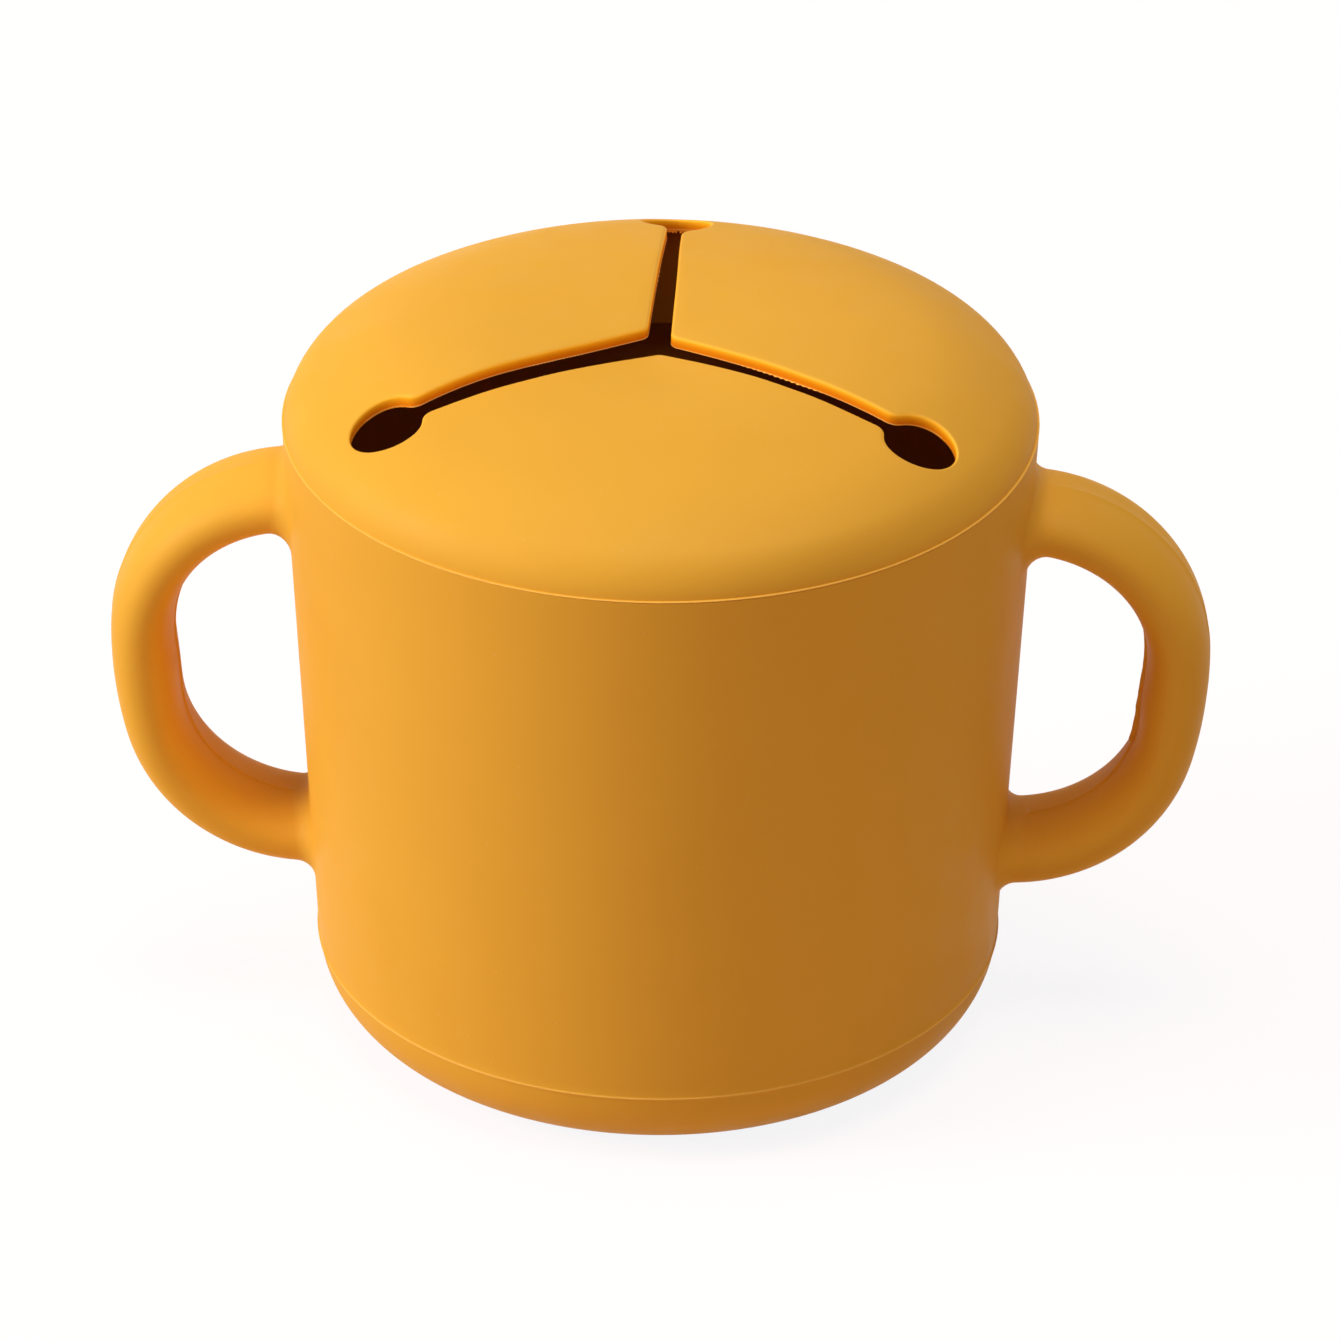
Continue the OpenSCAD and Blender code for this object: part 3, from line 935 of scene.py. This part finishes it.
def tooth(x, y):
    """How far the fin reaches into the slit at a point of the lid, in mm."""
    spot = Vector((x, y, 0))
    torn = noise.noise(spot * TORN_SPOTS + Vector((3.7, 1.2, 0)))
    worst = math.exp(-((x / WORST_REACH[0]) ** 2 + ((y - WORST_Y) / WORST_REACH[1]) ** 2))
    size = 0.05 + 0.5 * max(0.0, torn - TORN_FROM) + 0.6 * worst
    saw = 0.5 + 0.5 * math.sin(math.tau * (x + SLANT * y) / TEETH + 2 * torn)
    return size * (0.25 + 0.75 * saw * (0.6 + 0.8 * abs(noise.noise(spot * 2.3))))


def fin_rows(flap):
    """The fin's cross-sections: root above, tip, root below."""
    edge, inner = np.array(slit_edge(0)), np.array(slit_edge(FIN_ROOT))
    run = np.concatenate(([0], np.cumsum(np.linalg.norm(np.diff(edge, axis=0), axis=1))))
    at = np.arange(FIN_STEP, run[-1] - FIN_STEP, FIN_STEP)
    edge = np.stack([np.interp(at, run, edge[:, k]) for k in (0, 1)], 1)
    inner = np.stack([np.interp(at, run, inner[:, k]) for k in (0, 1)], 1)
    rows = []
    for p, q in zip(edge, inner):
        tip = p + (p - q) / FIN_ROOT * tooth(*turn_plan(*p, FLAPS[flap][0]))
        z = dome(math.hypot(*p), PLATE) + FIN_RISE
        rows.append([lid_place(*q, z + FIN_T, flap), lid_place(*tip, z, flap),
                     lid_place(*q, z - FIN_T / 2, flap)])
    # Each end runs out in a point, which closes the tube.
    rows[0] = [rows[0][0]] * 3
    rows[-1] = [rows[-1][0]] * 3
    return rows


def add_fin(flap):
    """Lays a thin ragged fin along the lower edge of the cut."""
    rows = fin_rows(flap)
    bpy.ops.mesh.select_all(action="DESELECT")
    bpy.ops.mesh.primitive_grid_add(x_subdivisions=3, y_subdivisions=len(rows) - 1, size=1)
    mesh = bmesh.from_edit_mesh(bpy.context.object.data)
    for vertex in (v for v in mesh.verts if v.select):
        corner = round((vertex.co.x + 0.5) * 3) % 3
        vertex.co = rows[round((vertex.co.y + 0.5) * (len(rows) - 1))][corner]
    bmesh.update_edit_mesh(bpy.context.object.data)


print(f"behind the rear hole the fin reaches {tooth(0, WORST_Y):.2f} mm")

# %% [markdown]
# ## How deep each point lies
#
# Silicone lets light through, and a cut edge glows deeper and more orange than
# the skin. True subsurface light would draw a dark line where two thirds of the
# lid meet, because each is a closed piece. So that light is painted instead:
# every point is told how deep it lies under the outer skin, and the colour and a
# painted glow are read from that depth. A second mark says how shut in a point
# is, and there the colour is painted darker, as painted shade inside the cup and
# under the lid, where the light that arrives has already gone through silicone.

# %% How deep and how shut in each point lies
# Thin raised edges are painted paler than the skin, as a painted highlight.
THIN = 0.3               # minus this depth stands for a thin raised edge
LEDGE_IN = 0.04          # the lid's ledge is what stands further out than this
LEDGE_FROM, LEDGE_TO = 0.02, 0.15   # and between these heights above the seam
BEAD_FROM, BEAD_TO = 0.1, 0.3   # how far the parting line stands off the wall
UNDER = 0.03             # the lid's underside starts this much above the plate's depth
BELOW = 0.1              # the cup's underside is further down than this from the floor
# The painted shade inside the cup is full below DARK_Z and fades out up to OPEN_Z.
DARK_Z, OPEN_Z = 70.0, 78.0   # the inside of the cup opens to the light between


def mark(ob, marks_of):
    """Stores the depth in mm and the share shut in (0 to 1) of each point; the material paints
    light and shade from both.
    """
    marks = [marks_of(vertex.co / MM) for vertex in ob.data.vertices]
    for k, name in enumerate(("depth", "inside")):
        attribute = ob.data.attributes.new(name, "FLOAT", "POINT")
        attribute.data.foreach_set("value", [pair[k] for pair in marks])
        count = sum(1 for pair in marks if pair[k] != 0)
        print(f"{ob.name}: {name} is set on {count} of {len(marks)} points")


def marks_in_lid(flap):
    """The two marks of a point of this third, as a function of the point."""

    def marks_of(p):
        r = math.hypot(p.x, p.y)
        # The ledge counts as a thin edge, which is painted paler, as a painted highlight.
        if r > CUP_R - LEDGE_IN and SEAM_Z + LEDGE_FROM < p.z < SEAM_Z + LEDGE_TO:
            return -THIN, 0.0
        if r > SHOULDER_R:
            return 0.0, 0.0
        depth = dome(r) + raised(*turn_plan(p.x, p.y, -FLAPS[flap][0]), flap) - p.z
        # The lid's underside is marked fully shut in, so it gets the painted shade.
        if depth > PLATE - UNDER:
            return 0.0, 1.0
        return max(0.0, round(depth, 3)), 0.0
    return marks_of


def marks_in_cup(p):
    """The two marks of a point of the cup."""
    r = math.hypot(p.x, p.y)
    # The parting bead counts as a thin edge, which is painted paler, as a painted highlight.
    if abs(p.z - BASE_Z) < BEAD_HALF and BEAD_FROM < r - wall_radius(p.z) < BEAD_TO:
        return -THIN, 0.0
    if p.z > BASE_Z:
        outer = wall_radius(p.z)
    else:
        outer = STAND_R + math.sqrt(max(BASE_CURVE ** 2 - (BASE_CURVE - p.z) ** 2, 0))
    if p.z < FLOOR - BELOW or r > outer - WALL / 2:
        return 0.0, 0.0
    # Inside the cup, the share of painted shade grows from OPEN_Z down to DARK_Z.
    return 0.0, max(0.0, min(1.0, (OPEN_Z - p.z) / (OPEN_Z - DARK_Z)))


mark(cup, marks_in_cup)

# %% [markdown]
# Now one function can build a third: two sheets, the rings of the cut, the
# rings outside, the two ends and the fin, and at the end the shading and the
# marks. It runs once for each flap, so the three share one way of making and
# differ only in how they lie.

# %% Make the three thirds


def make_third(flap):
    """Builds the third of the lid that carries this flap."""
    ob = start_mesh("lid_" + flap)
    bpy.ops.mesh.delete(type="VERT")
    add_sheet(top_plan, 0, flap)
    add_sheet(under_plan, PLATE, flap)
    top_edge = cut_ring(flap, EDGE_R, 0, 0)
    grow_rings(top_edge, [cut_ring(flap, *ring) for ring in cut_rings()])
    grow_rings(round_ring(flap, *profile[0]), [round_ring(flap, *p) for p in profile[1:]])
    close_ends()
    add_fin(flap)
    finish_shading(ob, 40)
    mark(ob, marks_in_lid(flap))
    return ob


lid_thirds = {flap: make_third(flap) for flap in FLAPS}

# %% [markdown]
# ## Baking the thirds in place
#
# Each third's placement is baked into its mesh, and the imported lid and its flap are hidden in
# its place.

# %% Bake the thirds and hide the imported lid and flaps
for flap, piece in lid_thirds.items():
    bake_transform(piece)
    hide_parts("lid", "flap_" + flap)

# %% [markdown]
# ## The silicone
#
# The cup and the lid come out of the same batch: honey-yellow, matte and a
# little cloudy. Paint of that colour would look dead beside it, because light
# goes into silicone and comes out again. So that light is painted in: the colour
# deepens with the depth under the skin, a faint painted glow on the cut walls
# stands for the light that comes through the plate, a thin raised edge is painted
# paler, as a painted highlight, and the inside of the cup and the lid's underside
# are painted darker, as painted shade. One material serves both mouldings.

# %% The colour and the painted light, from the depth
silicone = bpy.data.materials.new("silicone")
silicone.use_nodes = True
nodes, links = silicone.node_tree.nodes, silicone.node_tree.links
shader = nodes["Principled BSDF"]
shader.inputs["IOR"].default_value = 1.41
shader.inputs["Specular IOR Level"].default_value = 0.16
# At each depth in mm, the colour and then the painted glow. Below the skin the
# colour is painted light as well: a deeper orange down the cut, and paler at a thin
# raised edge, at the lip at the foot of a cut and on the fin, as a painted highlight.
TONES_WITH_PAINTED_LIGHT = ((-THIN, (1.0, 0.57, 0.11)), (0.0, (0.88, 0.452, 0.045)), (0.36, (0.98, 0.45, 0.012)),
         (1.0, (1.0, 0.3, 0.003)), (1.3, (1.0, 0.27, 0.003)), (1.42, (1.0, 0.5, 0.07)))
PAINTED_GLOWS = ((0.0, (0, 0, 0)), (0.05, (0.1, 0.06, 0.012)), (0.2, (0.28, 0.13, 0.008)),
         (0.4, (0.26, 0.095, 0.003)), (0.9, (0.15, 0.042, 0)), (1.3, (0.06, 0.014, 0)),
         (1.4, (0.15, 0.07, 0.03)))
# Painted shade: the inside of the closed cup and the lid's underside are painted in this darker
# colour.
PAINTED_SHADE_INSIDE = (0.62, 0.165, 0.004)   # the colour inside the closed cup


def add_node(kind, **settings):
    """A new node of the silicone; a setting named in_X fills the socket X."""
    node = nodes.new("ShaderNode" + kind)
    for name, value in settings.items():
        if name.startswith("in_"):
            node.inputs[name[3:].replace("_", " ")].default_value = value
        else:
            setattr(node, name, value)
    return node


depth = add_node("Attribute", attribute_name="depth")
scaled = add_node("MapRange", in_From_Min=-THIN, in_From_Max=PLATE)
links.new(depth.outputs["Fac"], scaled.inputs["Value"])


def colour_and_painted_light_by_depth(stops):
    """A colour ramp over the depth, from a thin edge to the underside, with the painted light
    in it.
    """
    ramp = add_node("ValToRGB")
    links.new(scaled.outputs["Result"], ramp.inputs["Fac"])
    for _ in stops[2:]:
        ramp.color_ramp.elements.new(0.5)
    for element, (deep, colour) in zip(ramp.color_ramp.elements, stops):
        element.position = (deep + THIN) / (PLATE + THIN)
        element.color = (*colour, 1)
    return ramp.outputs["Color"]


# The skin's own honey colour, with painted subsurface light and painted highlights at other
# depths.
tone_with_painted_light = colour_and_painted_light_by_depth(TONES_WITH_PAINTED_LIGHT)
# The emission is a painted glow, which stands for light that comes through the silicone; it is
# no lamp.
links.new(colour_and_painted_light_by_depth(PAINTED_GLOWS), shader.inputs["Emission Color"])
shader.inputs["Emission Strength"].default_value = 1.0
silicone.cycles.emission_sampling = "NONE"     # the glow is too faint to light anything
print(f"silicone: {len(TONES_WITH_PAINTED_LIGHT)} colours down to {PLATE} mm")

# %% [markdown]
# The surface has its own small marks. The polished mould leaves a very fine
# grain and slow, shallow waves, and some patches are a little glossier. The
# pigment clouds the colour. And silicone draws dust: a few pale specks sit on
# it, each finer than a grain of salt. All of this reads Object coordinates. The
# pieces sit at the origin, so the pattern has its true scale and stays on the
# silicone when the lid lifts or a flap bends.

# %% The clouding and the dust
PER_MM = 1000            # a texture's scale counts repeats to the metre
CLOUD_SIZE, CLOUD = 14, (0.7, 0.3, 0.02)   # size in mm, and the colour
DUST_CELL, DUST_R, DUST = 2.0, 0.075, (1.0, 0.78, 0.45)   # spacing, radius, colour
place = add_node("TexCoord")


def add_noise(size, detail):
    """A noise whose lumps are about this size in mm."""
    lumps = add_node("TexNoise", in_Scale=PER_MM / size, in_Detail=detail)
    links.new(place.outputs["Object"], lumps.inputs["Vector"])
    return lumps.outputs["Fac"]


def tint(first, second_colour, amount):
    """Mixes a fixed colour into a linked one by a linked amount."""
    mix = add_node("Mix", data_type="RGBA")
    colour_a, colour_b, result = mix.inputs[6], mix.inputs[7], mix.outputs[2]
    links.new(first, colour_a)
    colour_b.default_value = (*second_colour, 1)
    links.new(amount, mix.inputs["Factor"])
    return result


cloud = add_node("MapRange", in_From_Min=0.35, in_From_Max=0.75, in_To_Max=0.09)
links.new(add_noise(CLOUD_SIZE, 3), cloud.inputs["Value"])
# The mark inside mixes in the painted shade of the cup's inside and the lid's underside.
painted_shade_share = add_node("Attribute", attribute_name="inside")
shaded = tint(tone_with_painted_light, PAINTED_SHADE_INSIDE, painted_shade_share.outputs["Fac"])
clouded = tint(shaded, CLOUD, cloud.outputs["Result"])

dust = add_node("TexVoronoi", in_Scale=PER_MM / DUST_CELL)
links.new(place.outputs["Object"], dust.inputs["Vector"])
speck = add_node("MapRange", in_From_Min=0.6 * DUST_R / DUST_CELL,
                 in_From_Max=DUST_R / DUST_CELL, in_To_Min=0.55, in_To_Max=0.0)
links.new(dust.outputs["Distance"], speck.inputs["Value"])
dusty = tint(clouded, DUST, speck.outputs["Result"])
links.new(dusty, shader.inputs["Base Color"])
print(f"one speck of dust to every {DUST_CELL} mm, {2 * DUST_R} mm across")

# %% The gloss and the grain
WAVE_SIZE, WAVE_H = 16, 0.12       # size and height in mm
GRAIN_SIZE, GRAIN_H = 0.45, 0.012
GLOSS_SIZE = 5
gloss = add_node("MapRange", in_From_Min=0.3, in_From_Max=0.7, in_To_Min=0.5, in_To_Max=0.6)
links.new(add_noise(GLOSS_SIZE, 4), gloss.inputs["Value"])
links.new(gloss.outputs["Result"], shader.inputs["Roughness"])

waves = add_node("Bump", in_Strength=0.5, in_Distance=WAVE_H * MM)
links.new(add_noise(WAVE_SIZE, 1), waves.inputs["Height"])
grain = add_node("Bump", in_Strength=0.5, in_Distance=GRAIN_H * MM)
links.new(add_noise(GRAIN_SIZE, 2), grain.inputs["Height"])
links.new(waves.outputs["Normal"], grain.inputs["Normal"])
links.new(grain.outputs["Normal"], shader.inputs["Normal"])
for piece in [cup, *lid_thirds.values()]:
    piece.data.materials.clear()
    piece.data.materials.append(silicone)
print(f"silicone: {len(nodes)} nodes on {1 + len(lid_thirds)} pieces")

# %% [markdown]
# ## The studio
#
# The cup stands on pale cream paper that fades into white. A lamp bright enough
# to make the paper white would burn out the yellow. So the paper and the world
# shine only for rays that come straight from the camera, a gloss or a glass.
# Every other ray sees plain paper and a dim warm sky, and a quarter of the
# paper's own shade stays in view, so that the cup keeps its shadow.

# %% The floor
PAPER = (0.71, 0.545, 0.41)   # the paper's own colour
GLOW, GLOW_STRENGTH = (0.985, 1, 1.02), 1.18   # and how it looks when seen directly
FLOOR_GLOW = 0.75        # how much of that look is mixed in
FLOOR_SIZE = 12          # metres
bpy.ops.object.select_all(action="DESELECT")
bpy.ops.mesh.primitive_plane_add(size=FLOOR_SIZE)
floor = bpy.context.object
floor.name = "floor"
paper = bpy.data.materials.new("paper")
paper.use_nodes = True


def seen_directly(tree):
    """A value that is 1 for camera, glossy and transmission rays."""
    path = tree.nodes.new("ShaderNodeLightPath")
    last = path.outputs["Is Camera Ray"]
    for name in ("Is Glossy Ray", "Is Transmission Ray"):
        either = tree.nodes.new("ShaderNodeMath")
        either.operation = "MAXIMUM"
        tree.links.new(last, either.inputs[0])
        tree.links.new(path.outputs[name], either.inputs[1])
        last = either.outputs[0]
    return last


def mix_in(tree, plain, seen, amount, output):
    """Shows `plain` to most rays and `seen` to those seen directly."""
    part = tree.nodes.new("ShaderNodeMath")
    part.operation = "MULTIPLY"
    part.inputs[1].default_value = amount
    tree.links.new(seen_directly(tree), part.inputs[0])
    blend = tree.nodes.new("ShaderNodeMixShader")
    tree.links.new(part.outputs[0], blend.inputs["Fac"])
    tree.links.new(plain, blend.inputs[1])
    tree.links.new(seen, blend.inputs[2])
    tree.links.new(blend.outputs["Shader"], tree.nodes[output].inputs["Surface"])


tree = paper.node_tree
tree.nodes["Principled BSDF"].inputs["Base Color"].default_value = (*PAPER, 1)
tree.nodes["Principled BSDF"].inputs["Roughness"].default_value = 0.9
glow = tree.nodes.new("ShaderNodeEmission")
glow.inputs["Color"].default_value = (*GLOW, 1)
glow.inputs["Strength"].default_value = GLOW_STRENGTH
mix_in(tree, tree.nodes["Principled BSDF"].outputs["BSDF"], glow.outputs["Emission"],
       FLOOR_GLOW, "Material Output")
floor.data.materials.append(paper)
print(f"the floor shows {FLOOR_GLOW:.0%} white and {1 - FLOOR_GLOW:.0%} paper")

# %% [markdown]
# One large soft lamp stands low on the left, so the wall goes from bright to
# deep as it turns away. A second hangs over the lid. A lamp's power is worked
# out from the brightness that it gives a white card, so it can be moved without
# changing the exposure.

# %% The lamps and the world
AIM_Z = 0.045            # the lamps look at the middle of the cup, in metres
FILL, SKY = 0.18, (1, 0.64, 0.42)   # the strength and the colour of the dim sky


def soft_lamp(name, azimuth, elevation, distance, size, strength):
    """A round soft lamp that gives a white card facing it this brightness."""
    a, e = math.radians(azimuth), math.radians(elevation)
    towards = Vector((math.cos(e) * math.cos(a), math.cos(e) * math.sin(a), math.sin(e)))
    aim = Vector((0, 0, AIM_Z))
    bpy.ops.object.light_add(type="AREA", location=aim + towards * distance)
    lamp = bpy.context.object
    lamp.name = name
    lamp.data.shape = "DISK"
    lamp.data.size = size
    lamp.data.energy = strength * math.pi ** 2 * distance ** 2
    lamp.rotation_euler = towards.to_track_quat("Z", "Y").to_euler()
    print(f"{name}: {lamp.data.energy:.1f} W")


soft_lamp("key", azimuth=-168, elevation=27, distance=1.9, size=1.0, strength=0.72)
soft_lamp("top", azimuth=-60, elevation=86, distance=1.9, size=1.2, strength=0.5)
world = bpy.data.worlds.new("studio")
bpy.context.scene.world = world
world.use_nodes = True
tree = world.node_tree
background = tree.nodes["Background"]
background.inputs["Color"].default_value = (*SKY, 1)
background.inputs["Strength"].default_value = FILL
white = tree.nodes.new("ShaderNodeBackground")
white.inputs["Color"].default_value = (1, 1, 1, 1)
white.inputs["Strength"].default_value = 1.0
mix_in(tree, background.outputs["Background"], white.outputs["Background"], 1.0, "World Output")

# %% [markdown]
# ## The camera
#
# A long lens stands about a metre away and looks down by about thirty degrees,
# a little to the right of the cup. At that distance the cup's sides stay nearly
# parallel, and the lid and the wall show at once.

# %% The camera
LENS = 223.55            # mm, on a sensor 36 mm wide
SHIFT = (-0.0026, -0.0011)   # a hair to the side and down, in widths of the frame
STANDS_AT = (0.0440, -0.86923, 0.55006)   # metres
TURN, DROP, ROLL = math.radians(2.785), math.radians(30.136), math.radians(0.364)
camera_data = bpy.data.cameras.new("camera")
camera = bpy.data.objects.new("camera", camera_data)
bpy.context.collection.objects.link(camera)
bpy.context.scene.camera = camera
camera_data.sensor_width = 36
camera_data.lens = LENS
camera_data.shift_x, camera_data.shift_y = SHIFT
camera_data.clip_start, camera_data.clip_end = 0.05, 30
camera.location = STANDS_AT
camera.rotation_euler = (Matrix.Rotation(TURN, 3, "Z")
                         @ Matrix.Rotation(math.pi / 2 - DROP, 3, "X")
                         @ Matrix.Rotation(ROLL, 3, "Z")).to_euler()
bpy.context.scene.view_settings.view_transform = "Standard"
print(f"the camera stands {math.dist(STANDS_AT, (0, 0, AIM_Z)):.2f} m from the cup")
